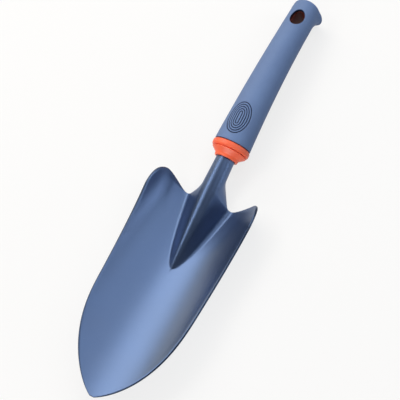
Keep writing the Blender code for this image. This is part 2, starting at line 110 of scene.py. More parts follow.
# One mesh object from parts, each (points, faces) or (points, faces, painted shade). The painted shade
# is 0 on the open surface and up to 1 in a groove, in the hole or on the sheet's rim, where the finish
# darkens the colour as painted shade. Points below the floor are set on it. Doubles merge, so seams and poles
# close.
def makePiece(name, parts, material):
    points = []
    faces = []
    paintedShade = []
    shift = 0
    for partPoints, partFaces, *shadeShare in parts:
        flat = partPoints.reshape(-1, 3)
        points.append(flat)
        faces.append(partFaces + shift)
        paintedShade.append(np.ravel(shadeShare[0]) if shadeShare else np.zeros(len(flat)))
        shift += len(flat)
    laid = layDown(np.vstack(points))
    laid[:, 2] = np.maximum(laid[:, 2], 0.0)
    mesh = bpy.data.meshes.new(name)
    mesh.from_pydata(laid.tolist(), [], np.vstack(faces).tolist())
    shadeShares = np.concatenate(paintedShade).astype(np.float32)
    mesh.attributes.new("paintedShade", "FLOAT", "POINT").data.foreach_set("value", shadeShares)
    work = bmesh.new()
    work.from_mesh(mesh)
    bmesh.ops.remove_doubles(work, verts=work.verts, dist=mergeDistance)
    bmesh.ops.dissolve_degenerate(work, edges=work.edges, dist=thinEdge)
    bmesh.ops.recalc_face_normals(work, faces=work.faces)
    work.to_mesh(mesh)
    work.free()
    mesh.materials.append(material)
    mesh.shade_smooth()
    piece = bpy.data.objects.new(name, mesh)
    bpy.context.scene.collection.objects.link(piece)
    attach(piece, "root")
    print("made", name, "with", len(mesh.polygons), "faces")
    return piece


# Materials

def nodeOf(tree, kind, place, **values):
    node = tree.nodes.new(kind)
    node.location = place
    for key, value in values.items():
        if key in node.inputs:
            node.inputs[key].default_value = value
        else:
            setattr(node, key, value)
    return node


# Grain: two sizes of noise. Height is for a bump, Mottle (0 to 1) for slow changes of tone,
# Specks is 1 on rare tiny spots.
def grainGroup():
    group = bpy.data.node_groups.new("surfaceGrain", "ShaderNodeTree")
    face = group.interface
    for name, value in (("Coarse Scale", 900.0), ("Fine Scale", 3500.0), ("Fine Share", 0.5),
                        ("Mottle Scale", 40.0), ("Speck Scale", 700.0), ("Speck Share", 0.02)):
        face.new_socket(name=name, in_out="INPUT", socket_type="NodeSocketFloat").default_value = value
    for name in ("Height", "Mottle", "Specks"):
        face.new_socket(name=name, in_out="OUTPUT", socket_type="NodeSocketFloat")
    source = nodeOf(group, "NodeGroupInput", (-900, 0))
    target = nodeOf(group, "NodeGroupOutput", (700, 0))
    place = nodeOf(group, "ShaderNodeTexCoord", (-900, 400))
    coarse = nodeOf(group, "ShaderNodeTexNoise", (-500, 400), Detail=2.0, Roughness=0.55)
    fine = nodeOf(group, "ShaderNodeTexNoise", (-500, 100), Detail=3.0, Roughness=0.6)
    slow = nodeOf(group, "ShaderNodeTexNoise", (-500, -200), Detail=4.0, Roughness=0.6)
    spots = nodeOf(group, "ShaderNodeTexVoronoi", (-500, -500), feature="F1")
    both = nodeOf(group, "ShaderNodeMix", (-150, 300), data_type="FLOAT")
    less = nodeOf(group, "ShaderNodeMath", (-150, -500), operation="LESS_THAN")
    link = group.links.new
    for noise, name in ((coarse, "Coarse Scale"), (fine, "Fine Scale"), (slow, "Mottle Scale"),
                        (spots, "Speck Scale")):
        link(place.outputs["Object"], noise.inputs["Vector"])
        link(source.outputs[name], noise.inputs["Scale"])
    link(source.outputs["Fine Share"], both.inputs["Factor"])
    link(coarse.outputs["Fac"], both.inputs["A"])
    link(fine.outputs["Fac"], both.inputs["B"])
    link(spots.outputs["Distance"], less.inputs[0])
    link(source.outputs["Speck Share"], less.inputs[1])
    link(both.outputs["Result"], target.inputs["Height"])
    link(slow.outputs["Fac"], target.inputs["Mottle"])
    link(less.outputs["Value"], target.inputs["Specks"])
    return group


surfaceGrain = grainGroup()
mottleRange = (0.3, 0.7)          # the part of the slow noise that is spread over the two tones


# A finish: base colour that drifts between two tones with the mottle and, where the look has a painted
# shade colour, turns to it as painted shade in grooves, in the hole and on the sheet's rim, roughness
# that drifts too, and a bump of the grain's height.
def finishMaterial(name, look):
    material = bpy.data.materials.new(name)
    material.use_nodes = True
    tree = material.node_tree
    shader = tree.nodes["Principled BSDF"]
    shader.inputs["Metallic"].default_value = look.get("metallic", 0.0)
    shader.inputs["Specular IOR Level"].default_value = look.get("specular", 0.5)
    shader.inputs["Sheen Weight"].default_value = look.get("sheen", 0.0)
    grain = nodeOf(tree, "ShaderNodeGroup", (-900, 0), node_tree=surfaceGrain)
    for key, value in look["grain"].items():
        grain.inputs[key].default_value = value
    tone = nodeOf(tree, "ShaderNodeMix", (-500, 250), data_type="RGBA")
    tone.inputs["A"].default_value = (*look["dark"], 1.0)
    tone.inputs["B"].default_value = (*look["light"], 1.0)
    spotted = nodeOf(tree, "ShaderNodeMix", (-250, 250), data_type="RGBA")
    spotted.inputs["B"].default_value = (*look["speckColor"], 1.0)
    spread = nodeOf(tree, "ShaderNodeMapRange", (-700, 250))
    rough = nodeOf(tree, "ShaderNodeMapRange", (-500, -50))
    for ranged in (spread, rough):
        ranged.inputs["From Min"].default_value = mottleRange[0]
        ranged.inputs["From Max"].default_value = mottleRange[1]
    rough.inputs["To Min"].default_value = look["roughness"][0]
    rough.inputs["To Max"].default_value = look["roughness"][1]
    bump = nodeOf(tree, "ShaderNodeBump", (-300, -300))
    bump.inputs["Strength"].default_value = look["bumpStrength"]
    bump.inputs["Distance"].default_value = look["bumpDepth"]
    link = tree.links.new
    link(grain.outputs["Mottle"], spread.inputs["Value"])
    link(spread.outputs["Result"], tone.inputs["Factor"])
    link(tone.outputs["Result"], spotted.inputs["A"])
    link(grain.outputs["Specks"], spotted.inputs["Factor"])
    # Painted shade: the colour turns to the painted shade colour where the painted shade attribute is high.
    if "paintedShadeColor" in look:
        shadeShare = nodeOf(tree, "ShaderNodeAttribute", (-500, 500), attribute_name="paintedShade")
        shaded = nodeOf(tree, "ShaderNodeMix", (-50, 350), data_type="RGBA")
        shaded.inputs["B"].default_value = (*look["paintedShadeColor"], 1.0)
        link(shadeShare.outputs["Fac"], shaded.inputs["Factor"])
        link(spotted.outputs["Result"], shaded.inputs["A"])
        link(shaded.outputs["Result"], shader.inputs["Base Color"])
    else:
        link(spotted.outputs["Result"], shader.inputs["Base Color"])
    link(grain.outputs["Mottle"], rough.inputs["Value"])
    link(rough.outputs["Result"], shader.inputs["Roughness"])
    link(grain.outputs["Height"], bump.inputs["Height"])
    link(bump.outputs["Normal"], shader.inputs["Normal"])
    return material


# Looks of the five finishes
powderCoatLook = {
    "dark": (0.082, 0.129, 0.247),
    "light": (0.092, 0.141, 0.264),
    "speckColor": (0.13, 0.18, 0.29),
    # painted shade: the colour the sheet's rim is darkened to
    "paintedShadeColor": (0.030, 0.045, 0.080),
    "roughness": (0.35, 0.40),
    "metallic": 0.90,
    "specular": 0.5,
    "bumpStrength": 0.35,
    "bumpDepth": 0.00006,
    "grain": {"Coarse Scale": 700.0, "Fine Scale": 2600.0, "Fine Share": 0.35, "Mottle Scale": 35.0,
              "Speck Scale": 260.0, "Speck Share": 0.045},
}
softRubberLook = {
    "dark": (0.126, 0.200, 0.392),
    "light": (0.141, 0.224, 0.428),
    "speckColor": (0.17, 0.23, 0.36),
    # painted shade: the colour the pad's grooves and the hanging hole's wall darken to
    "paintedShadeColor": (0.006, 0.012, 0.032),
    "roughness": (0.52, 0.60),
    "specular": 0.24,
    "sheen": 0.02,
    "bumpStrength": 0.6,
    "bumpDepth": 0.00008,
    "grain": {"Coarse Scale": 1800.0, "Fine Scale": 5200.0, "Fine Share": 0.55, "Mottle Scale": 60.0,
              "Speck Scale": 900.0, "Speck Share": 0.05},
}
orangePlasticLook = {
    "dark": (0.86, 0.125, 0.052),
    "light": (0.92, 0.152, 0.066),
    "speckColor": (0.88, 0.25, 0.14),
    "roughness": (0.40, 0.48),
    "specular": 0.5,
    "bumpStrength": 0.3,
    "bumpDepth": 0.00005,
    "grain": {"Coarse Scale": 1100.0, "Fine Scale": 4200.0, "Fine Share": 0.4, "Mottle Scale": 120.0,
              "Speck Scale": 1200.0, "Speck Share": 0.03},
}
# Painted shade: the core's orange plastic, darkened to dark red-brown for the shaded inside of the hole.
coreShadedOrangeLook = {                # much darker than the collar, because the hole is seen dark
    "dark": (0.150, 0.026, 0.015),
    "light": (0.200, 0.036, 0.020),
    "speckColor": (0.24, 0.06, 0.04),
    "roughness": (0.48, 0.58),
    "specular": 0.4,
    "bumpStrength": 0.3,
    "bumpDepth": 0.00005,
    "grain": {"Coarse Scale": 1100.0, "Fine Scale": 4200.0, "Fine Share": 0.4, "Mottle Scale": 120.0,
              "Speck Scale": 1200.0, "Speck Share": 0.03},
}
pinSteelLook = {
    "dark": (0.50, 0.50, 0.51),
    "light": (0.60, 0.60, 0.60),
    "speckColor": (0.35, 0.33, 0.31),
    "roughness": (0.28, 0.40),
    "metallic": 1.0,
    "bumpStrength": 0.3,
    "bumpDepth": 0.00002,
    "grain": {"Coarse Scale": 2200.0, "Fine Scale": 6000.0, "Fine Share": 0.5, "Mottle Scale": 200.0,
              "Speck Scale": 1500.0, "Speck Share": 0.04},
}

powderCoat = finishMaterial("powderCoat", powderCoatLook)
softRubber = finishMaterial("softRubber", softRubberLook)
orangePlastic = finishMaterial("orangePlastic", orangePlasticLook)
coreShadedOrange = finishMaterial("coreShadedOrange", coreShadedOrangeLook)
pinSteel = finishMaterial("pinSteel", pinSteelLook)
print("materials made")


# Blade

blade = {
    "halfWidth": 0.0406,          # at the ears
    "sideTaper": 0.045,
    "earStart": 0.1455,
    "pointLength": 0.075,
    "pointFullness": 2.62,
    "pointRoundness": 0.80,
    "tipFlat": 0.0006,
    "earTop": (0.0332, 0.1669),
    "earPull": 0.0090,
    "earTopPull": 0.0057,
    "notch": (0.0172, 0.1622),
    "notchPull": 0.0045,
    "notchRun": 0.015,
    "notchLag": 0.0045,
    "floorRadius": 1.65,
    "hollowRadius": (0.068, 0.0423),    # at the point and at the neck
    "ridgeStart": 0.1062,
    "ridgePull": 0.008,
    "ridgeRise": 0.55,            # slope of the crest over the floor where it starts
    "ridgeEndPull": 0.042,
    "valleyX": 0.0183,
    "valleySpread": 0.55,         # the valleys open like a parabola
    "valleyRadius": 0.0045,
    "valleyGrowth": 0.4,
    "crestNoseRadius": 0.0024,
    "crestRadius": 0.0078,
    "radiusRoom": 0.93,
    "seamGap": 0.0016,
    "rollStart": 0.162,
    "rollPower": 1.4,
    "leanStart": 0.160,
    "tangLength": 0.042,
    "rimRound": 0.0003,           # how far the sheet's edge bulges
    "rimSteps": 6,
    "rimPaintedShade": 0.9,               # how far painted shade darkens the middle of the rim
    "rows": {"point": 36, "side": 12, "ridge": 30, "ear": 16, "shoulder": 16, "notch": 22,
             "neck": 12, "tang": 8},
    "pointRowSpread": 1.7,
    "ridgeRowSpread": 1.8,        # over 1 sets the rows closer together where the ridge starts
    "bands": {"crest": 9, "flank": 4, "valley": 9, "wing": 16},
    "bandLeast": (0.06, 0.11, 0.18),
    "bandMost": (0.30, 0.50, 0.75),
    "crestPoints": 400,           # points of the crest's curve that heights are read from
    "halvings": 40,               # when a distance across the section is looked for
    "normalStep": 0.0002,         # reach of the slopes that give the normals
}


# The hollow's floor is a long arc: c^2 / (2 R).
def floorHeight(c):
    return c * c / (2.0 * blade["floorRadius"])


# The crosswise radius falls evenly from the point to the notch.
def hollowRadius(c):
    first, last = blade["hollowRadius"]
    return first + (last - first) * np.minimum(c / blade["notch"][1], 1.0)


# The crest leaves the floor on a Bezier curve and ends on the neck's straight line.
def crestHeight(c):
    start = blade["ridgeStart"]
    slope = math.tan(neckPitch)
    end = (tool["neckEnd"], tool["neckCrest"])
    pull = blade["ridgePull"]
    soft = (start + pull, floorHeight(start + pull) + blade["ridgeRise"] * pull)
    bend = (end[0] - blade["ridgeEndPull"], end[1] - blade["ridgeEndPull"] * slope)
    curve = bezier((start, floorHeight(start)), soft, bend, end, blade["crestPoints"])
    rising = np.interp(c, curve[:, 0], curve[:, 1])
    straight = end[1] + (c - end[0]) * slope
    return np.where(c < start, floorHeight(c), np.where(c > end[0], straight, rising))


# A section's ridge: the crest's circle and the valley's circle on the hollow's circle, joined
# by the straight flank that touches both. Returns radii, the flank's angle and length, and the
# angle at which the wing takes over.
def ridgeValues(c):
    start = blade["ridgeStart"]
    spread = np.clip((c - start) / (blade["notch"][1] - start), 1e-4, 1.0)
    valleyX = blade["valleyX"] * spread ** blade["valleySpread"]
    height = np.maximum(crestHeight(c) - floorHeight(c), 1e-6)
    room = (valleyX ** 2 + height ** 2) / (2.0 * height)
    crestRadius = blade["crestNoseRadius"] + (blade["crestRadius"] - blade["crestNoseRadius"]) * spread
    valleyRadius = blade["valleyRadius"] * spread ** blade["valleyGrowth"]
    fit = np.minimum(1.0, blade["radiusRoom"] * room / (crestRadius + valleyRadius))
    crestRadius = crestRadius * fit
    valleyRadius = valleyRadius * fit
    hollow = hollowRadius(c)
    wing = np.arcsin(valleyX / (hollow - valleyRadius))
    drop = height - crestRadius - hollow + (hollow - valleyRadius) * np.cos(wing)
    apart = np.hypot(valleyX, drop)
    touching = crestRadius + valleyRadius
    flank = np.arcsin(np.minimum(touching / apart, 1.0)) + np.arctan2(drop, valleyX)
    length = np.sqrt(np.maximum(apart ** 2 - touching ** 2, 0.0))
    present = c > start
    none = np.zeros_like(c)
    crestRadius = np.where(present, crestRadius, tool["tubeRadius"])
    valleyRadius = np.where(present, valleyRadius, blade["valleyRadius"])
    flank, length, wing = (np.where(present, value, none) for value in (flank, length, wing))
    return crestRadius, valleyRadius, flank, length, wing


# The same with the neck: the flanks close to half a turn and the crest narrows to the tube.
def sectionValues(c):
    crestRadius, valleyRadius, flank, length, wing = ridgeValues(np.minimum(c, blade["rollStart"]))
    rolled = np.clip((c - blade["rollStart"]) / (tool["neckEnd"] - blade["rollStart"]), 0.0, 1.0)
    flank = flank + (math.pi - flank) * rolled ** blade["rollPower"]
    crestRadius = crestRadius + (tool["tubeRadius"] - crestRadius) * smooth(rolled)
    lean = neckPitch * smooth((c - blade["leanStart"]) / (tool["neckEnd"] - blade["leanStart"]))
    return crestRadius, valleyRadius, flank, length, wing, hollowRadius(c), lean


# Walks a distance q along the section from its crest: crest arc, flank, valley arc, wing arc.
def acrossAndDown(q, values):
    crestRadius, valleyRadius, flank, length, wing, hollow, _ = values
    arc = np.minimum(q, crestRadius * flank) / crestRadius
    run = np.clip(q - crestRadius * flank, 0.0, length)
    x = crestRadius * np.sin(arc) + run * np.cos(flank)
    down = crestRadius * (1.0 - np.cos(arc)) + run * np.sin(flank)
    back = np.clip(q - crestRadius * flank - length, 0.0, valleyRadius * (flank + wing))
    angle = flank - back / valleyRadius
    x = x + valleyRadius * (np.sin(flank) - np.sin(angle))
    down = down + valleyRadius * (np.cos(angle) - np.cos(flank))
    out = np.maximum(q - crestRadius * flank - length - valleyRadius * (flank + wing), 0.0) / hollow
    x = x + hollow * (np.sin(wing + out) - np.sin(wing))
    down = down - hollow * (np.cos(wing) - np.cos(wing + out))
    return x, down


# Front surface: station c along the blade and distance q across it, the section leaning with
# the neck's pitch.
def sheetPoint(q, c):
    values = sectionValues(c)
    x, down = acrossAndDown(np.abs(q), values)
    lean = values[-1]
    height = crestHeight(c) - down * np.cos(lean)
    return np.stack([np.sign(q) * x, c + down * np.sin(lean), height], axis=-1)


# The distance along the section at which it reaches x, by halving an interval.
def sheetDistance(x, c):
    values = sectionValues(c)
    low = np.zeros_like(c)
    high = np.full_like(c, 2.0 * blade["halfWidth"])
    for _ in range(blade["halvings"]):
        middle = 0.5 * (low + high)
        short = acrossAndDown(middle, values)[0] < x
        low = np.where(short, middle, low)
        high = np.where(short, high, middle)
    return low


# Half outline as (distance, station at the edge, station at the crest), one row each, moved in
# by the rim's bulge so that the rounded rim ends on the true outline.
def outlineRows():
    rows = blade["rows"]
    first = blade["tipFlat"]
    share = np.linspace(0.0, 1.0, rows["point"] + 1)[:-1] ** blade["pointRowSpread"]
    point = first + (blade["pointLength"] - first) * share
    side = np.linspace(blade["pointLength"], blade["ridgeStart"], rows["side"] + 1)[:-1]
    share = np.linspace(0.0, 1.0, rows["ridge"] + 1)[:-1] ** blade["ridgeRowSpread"]
    beside = blade["ridgeStart"] + (blade["earStart"] - blade["ridgeStart"]) * share
    c = np.concatenate([point, side, beside])
    level = len(c)
    along = 1.0 - np.minimum(c / blade["pointLength"], 1.0)
    full = blade["halfWidth"] - blade["sideTaper"] * (blade["earStart"] - c)
    x = full * (1.0 - along ** blade["pointFullness"]) ** blade["pointRoundness"]
    crest = c

    topX, topY = blade["earTop"]
    notchX, notchY = blade["notch"]
    width = blade["halfWidth"]
    ear = bezier((width, blade["earStart"]), (width, blade["earStart"] + blade["earPull"]),
                 (topX + blade["earTopPull"], topY), (topX, topY), rows["ear"] + 1)[:-1]
    shoulder = bezier((topX, topY), (topX - blade["earTopPull"], topY),
                      (notchX + blade["notchPull"], notchY), (notchX, notchY), rows["shoulder"] + 1)
    rim = np.vstack([ear, shoulder])
    x = np.concatenate([x, rim[:, 0]])
    c = np.concatenate([c, rim[:, 1]])
    crest = np.concatenate([crest, np.linspace(blade["earStart"], notchY - blade["notchLag"], len(rim))])
    q = sheetDistance(x, c)

    strip = math.pi * tool["tubeRadius"] - 0.5 * blade["seamGap"]
    runEnd = notchY + blade["notchRun"]
    run = bezier((q[-1], notchY), (q[-1] - blade["notchPull"], notchY),
                 (strip, notchY + blade["notchPull"]), (strip, runEnd), rows["notch"] + 1)[1:]
    tangEnd = tool["neckEnd"] + blade["tangLength"] * math.cos(neckPitch)
    neck = np.linspace(runEnd, tool["neckEnd"], rows["neck"] + 1)[1:]
    tang = np.linspace(tool["neckEnd"], tangEnd, rows["tang"] + 1)[1:]
    straight = np.concatenate([neck, tang])
    q = np.concatenate([q, run[:, 0], np.full(len(straight), strip)])
    c = np.concatenate([c, run[:, 1], straight])
    runCrest = np.linspace(notchY - blade["notchLag"], runEnd, len(run) + 1)[1:]
    crest = np.concatenate([crest, runCrest, straight])

    ahead = np.gradient(np.stack([q, c], axis=1), axis=0)
    ahead = ahead / np.linalg.norm(ahead, axis=1, keepdims=True)
    inset = blade["rimRound"]
    crest[:level] += inset * ahead[:level, 0]
    return q - inset * ahead[:, 1], c + inset * ahead[:, 0], crest


# Distance and station over the half sheet. Columns are shared out between the crest's arc, the
# flank, the valley's arc and the wing, so they follow the ridge.
def halfGrid():
    reach, station, crest = (row[:, None] for row in outlineRows())
    bands = blade["bands"]
    even = np.linspace(0.0, 1.0, sum(bands.values()) + 1)[None, :]
    c = crest + (station - crest) * even * even
    crestRadius, valleyRadius, flank, length, wing, _, _ = sectionValues(c)
    ends = [crestRadius * flank, crestRadius * flank + length,
            crestRadius * flank + length + valleyRadius * (flank + wing)]
    ends = [np.clip(end / reach, least, most)
            for end, least, most in zip(ends, blade["bandLeast"], blade["bandMost"])]
    columns = [np.zeros_like(c)[:, :1]]
    near = np.zeros_like(c)
    first = 0
    for count, end in zip(bands.values(), ends + [np.ones_like(c)]):
        steps = np.arange(1, count + 1)
        k = first + steps
        columns.append(near[:, k] + (end[:, k] - near[:, k]) * (steps / count)[None, :])
        first += count
        near = end
    return np.hstack(columns) * reach, c


# Unit normals of the front surface: the cross product of its slopes across and along.
def sheetNormals(q, c):
    step = blade["normalStep"]
    across = sheetPoint(q + step, c) - sheetPoint(q - step, c)
    along = sheetPoint(q, c + step) - sheetPoint(q, c - step)
    normal = np.cross(across, along)
    return normal / np.linalg.norm(normal, axis=-1, keepdims=True)


# The blade is its front surface, the same surface one sheet lower, and a half-round rim:
# rim point = middle + half thickness * cos(a) * normal + bulge * sin(a) * outward.
def makeBlade():
    q, c = halfGrid()
    q = np.hstack([-q[:, :0:-1], q])
    c = np.hstack([c[:, :0:-1], c])
    front = sheetPoint(q, c)
    normal = sheetNormals(q, c)
    back = front - tool["sheet"] * normal
    rows, columns, _ = front.shape
    index = np.arange(rows * columns).reshape(rows, columns)
    border = np.concatenate([index[0, :], index[1:, -1], index[-1, -2::-1], index[-2:0:-1, 0]])
    edge = front.reshape(-1, 3)[border]
    upward = normal.reshape(-1, 3)[border]
    ahead = np.roll(edge, -1, axis=0) - np.roll(edge, 1, axis=0)
    outward = np.cross(ahead, upward)
    outward = outward / np.linalg.norm(outward, axis=1, keepdims=True)
    turn = np.linspace(0.0, math.pi, blade["rimSteps"] + 1)[:, None, None]
    half = 0.5 * tool["sheet"]
    middle = (edge - half * upward)[None]
    rim = middle + half * np.cos(turn) * upward[None] + blade["rimRound"] * np.sin(turn) * outward[None]
    sheetQuads = gridFaces(rows, columns, closed=False)
    rimQuads = gridFaces(len(turn), len(border), closed=True)
    # Painted shade on the rim, darkest in the middle of its edge.
    darkness = np.broadcast_to(blade["rimPaintedShade"] * np.sin(turn[..., 0]), rim.shape[:2])
    parts = [(front, sheetQuads), (back, sheetQuads[:, ::-1]), (rim, rimQuads, darkness)]
    return makePiece("bladePressing", parts, powderCoat)


bladePressing = makeBlade()
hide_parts("blade")


# Handle line: straight through the collar, then one arc down to the butt's pitch.
# Returns centres and upward normals at distances s from the collar's mouth.
def handleFrame(s):
    s = np.atleast_1d(np.asarray(s, float))
    buttPitch = math.radians(tool["buttPitch"])
    turn = (neckPitch - buttPitch) / (tool["handleLength"] - gripStart)
    pitch = neckPitch - turn * np.maximum(s - gripStart, 0.0)
    forward = np.minimum(s, gripStart) * math.cos(neckPitch) + (math.sin(neckPitch) - np.sin(pitch)) / turn
    upward = np.minimum(s, gripStart) * math.sin(neckPitch) + (np.cos(pitch) - math.cos(neckPitch)) / turn
    none = np.zeros_like(s)
    centre = mouth + np.stack([none, forward, upward], axis=-1)
    normal = np.stack([none, -np.sin(pitch), np.cos(pitch)], axis=-1)
    return centre, normal


# Points round the handle line: centre + radius * (sin(angle) * sideways + cos(angle) * normal).
def roundPoints(s, angle, radius):
    centre, normal = handleFrame(s.ravel())
    centre = centre.reshape(s.shape + (3,))
    normal = normal.reshape(s.shape + (3,))
    return (centre + (radius * np.sin(angle))[..., None] * sideways
            + (radius * np.cos(angle))[..., None] * normal)


# Collar

collar = {
    "lipRadius": 0.0088,
    "lipLength": 0.0022,
    "coneRadius": 0.0131,
    "rimRadius": 0.0141,
    "rimLength": 0.0042,
    "groove": 0.0006,
    "edge": 0.0004,
    "around": 144,
    "cornerSteps": 5,
    "cornerCuts": (0.0001, 0.0002, 0.00008, 0.00015, 0.0006, 0.0002, 0.0001, 0.0001,
                   0.00015, 0.00025, 0.00025, 0.0003),    # rounding of each corner, in their order
}


# Rounds each corner of a closed outline with a quadratic Bezier that starts and ends at the
# given distance from the corner.
def roundCorners(corners, cuts, steps):
    corners = np.array(corners)
    cuts = np.array(cuts)[:, None]
    before = np.roll(corners, 1, axis=0) - corners
    after = np.roll(corners, -1, axis=0) - corners
    start = corners + before * (cuts / np.linalg.norm(before, axis=1, keepdims=True))
    end = corners + after * (cuts / np.linalg.norm(after, axis=1, keepdims=True))
    t = np.linspace(0.0, 1.0, steps + 1)[None, :, None]
    first, last = start[:, None], end[:, None]
    curve = (1.0 - t) ** 2 * first + 2.0 * t * (1.0 - t) * corners[:, None] + t * t * last
    return curve.reshape(-1, 2)


def makeCollar():
    bore = tool["tubeRadius"] + tool["gap"]
    length = tool["collarLength"]
    rim = length - collar["rimLength"]
    groove = collar["groove"]
    edge = collar["edge"]
    corners = [
        (length, bore), (0.0, bore), (0.0, collar["lipRadius"] - 0.5 * edge),
        (0.5 * edge, collar["lipRadius"]),
        (collar["lipLength"], collar["lipRadius"] + edge), (rim - 2.0 * groove, collar["coneRadius"]),
        (rim - groove, collar["coneRadius"] - groove), (rim - 0.5 * groove, collar["coneRadius"] - groove),
        (rim, collar["rimRadius"] - edge),
        (rim + 2.0 * edge, collar["rimRadius"]), (length - 2.0 * edge, collar["rimRadius"]),
        (length, collar["rimRadius"] - 2.0 * edge),
    ]
    profile = roundCorners(corners, collar["cornerCuts"], collar["cornerSteps"])
    profile = np.vstack([profile, profile[:1]])
    angle = 2.0 * math.pi * np.arange(collar["around"]) / collar["around"]
    s, turn = np.meshgrid(profile[:, 0], angle, indexing="ij")
    radius = np.broadcast_to(profile[:, 1:], s.shape)
    points = roundPoints(s, turn, radius)
    parts = [(points, gridFaces(len(profile), collar["around"], closed=True))]
    return makePiece("collarRing", parts, orangePlastic)


collarRing = makeCollar()
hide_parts("collar")


# Grip

grip = {
    "frontRadius": 0.013749,
    "buttRadius": 0.01050,
    "taperPower": 1.6,
    "wall": 0.0021,
    "endWall": 0.0035,
    "frontEdge": 0.0008,
    "buttEdge": 0.0028,
    "buttCrown": 0.00035,
    "buttInset": 0.00006,         # keeps the rounded butt within the faceted one
    "heelLength": 0.0140,
    "heelDrop": 0.0050,
    "heelPower": 1.7,
    "heelSide": 72.0,
    "heelFull": 140.0,
    "holeFromButt": 0.0176,
    "holeHalfWidth": 0.0051,
    "holeHalfLength": 0.0067,
    "holeLip": 0.0006,            # rounding of the hole's edge
    "holeWindow": (0.0105, 41.0),    # the hole's patch reaches this far along and, in degrees, round
}

# How finely the grip is divided. A range of columns is (first degree, last degree, count).
gripMesh = {
    "fineColumns": (-47.0, 42.0, 149),
    "coarseColumns": (42.0, 313.0, 76),
    "startColumn": 164,           # the seam lies between the two windows
    "padReach": 0.0136,           # the close rows reach this far from the pad's middle
    "padRows": 171,
    "frontRows": 6,
    "middleRows": 46,
    "holeRows": 31,
    "heelRows": 12,
    "crownRows": 12,
    "buttEdgeRows": 9,
    "frontEdgeRows": 6,
    "boreRows": 16,               # from the front to the hole
    "boreEndRows": 5,
    "poleRows": 5,
    "holeSurfaceRings": 9,
    "holeLipRings": 6,
    "holeWallRings": 5,
    "holeBoreRings": 5,
    "holeCorrections": 6,         # rounds in which the hole's edge settles on the surface
}

thumbPad = {
    "centre": 0.0288,             # from the collar's mouth
    "turn": -5.0,                 # degrees round the grip from its top
    "halfLength": 0.0120,
    "halfWidth": 0.0083,
    "tilt": -2.0,                 # degrees, turned about the pad's middle
    "rings": 5,
    "innermost": 0.0011,          # half width of the smallest ring
    "grooveWidth": 0.00130,
    "grooveDepth": 0.00055,
    "sink": 0.00012,              # the pad lies this much lower than the grip
    "sinkReach": 0.0008,          # and comes up to it this far outside the largest ring,
    "sinkFade": 0.0012,           # over this width
    "ringSearch": (1e-5, 0.08, 24),    # least and most size of a ring, and how often that range is halved
}


def gripRadius(s):
    left = 1.0 - np.clip((s - gripStart) / (tool["handleLength"] - gripStart), 0.0, 1.0)
    return grip["buttRadius"] + (grip["frontRadius"] - grip["buttRadius"]) * left ** grip["taperPower"]


# The heel's flare: drop * share(s)^power, on the underside only, faded in between two angles.
def heelFlare(s, angle):
    begin = tool["handleLength"] - grip["heelLength"]
    share = np.clip((s - begin) / (grip["heelLength"] - 0.5 * grip["buttEdge"]), 0.0, 1.0)
    fromTop = math.pi - np.abs(np.mod(angle, 2.0 * math.pi) - math.pi)
    low, high = math.radians(grip["heelSide"]), math.radians(grip["heelFull"])
    return grip["heelDrop"] * share ** grip["heelPower"] * smooth((fromTop - low) / (high - low))


# Engraved rings. The middle ones keep a distance r from a straight slot, the outer ones are ellipses
# with half axes r + slot along the grip and r across it, with r from halving an interval, and the
# rings between blend the two. The depth is a raised cosine of the distance to the nearest ring.
# Its second value, the groove's share, also serves as painted shade that darkens the grooves.
def padCarving(s, angle):
    turned = angle - math.radians(thumbPad["turn"])
    fromTop = np.mod(turned + math.pi, 2.0 * math.pi) - math.pi
    along = s - thumbPad["centre"]
    across = fromTop * gripRadius(s)
    tilt = math.radians(thumbPad["tilt"])
    u = along * math.cos(tilt) + across * math.sin(tilt)
    v = across * math.cos(tilt) - along * math.sin(tilt)
    slot = thumbPad["halfLength"] - thumbPad["halfWidth"]
    least, most, halvings = thumbPad["ringSearch"]
    low = np.full(u.shape, least)
    high = np.full(u.shape, most)
    for _ in range(halvings):
        middle = 0.5 * (low + high)
        outside = (u / (middle + slot)) ** 2 + (v / middle) ** 2 > 1.0
        low = np.where(outside, middle, low)
        high = np.where(outside, high, middle)
    near = np.hypot(np.maximum(np.abs(u) - slot, 0.0), v)
    size = near + (low - near) * smooth(low / thumbPad["halfWidth"])
    rings = np.linspace(thumbPad["innermost"], thumbPad["halfWidth"], thumbPad["rings"])
    nearest = np.min(np.abs(size[..., None] - rings), axis=-1)
    groove = 0.5 + 0.5 * np.cos(np.clip(nearest / (0.5 * thumbPad["grooveWidth"]), 0.0, 1.0) * math.pi)
    inside = smooth((thumbPad["halfWidth"] + thumbPad["sinkReach"] - low) / thumbPad["sinkFade"])
    return thumbPad["grooveDepth"] * groove + thumbPad["sink"] * inside, groove


def outerRadius(s, angle):
    return gripRadius(s) + heelFlare(s, angle) - padCarving(s, angle)[0]


def boreRadius(s, angle):
    return gripRadius(s) - grip["wall"] + 0.0 * angle    # the angle adds only its array shape


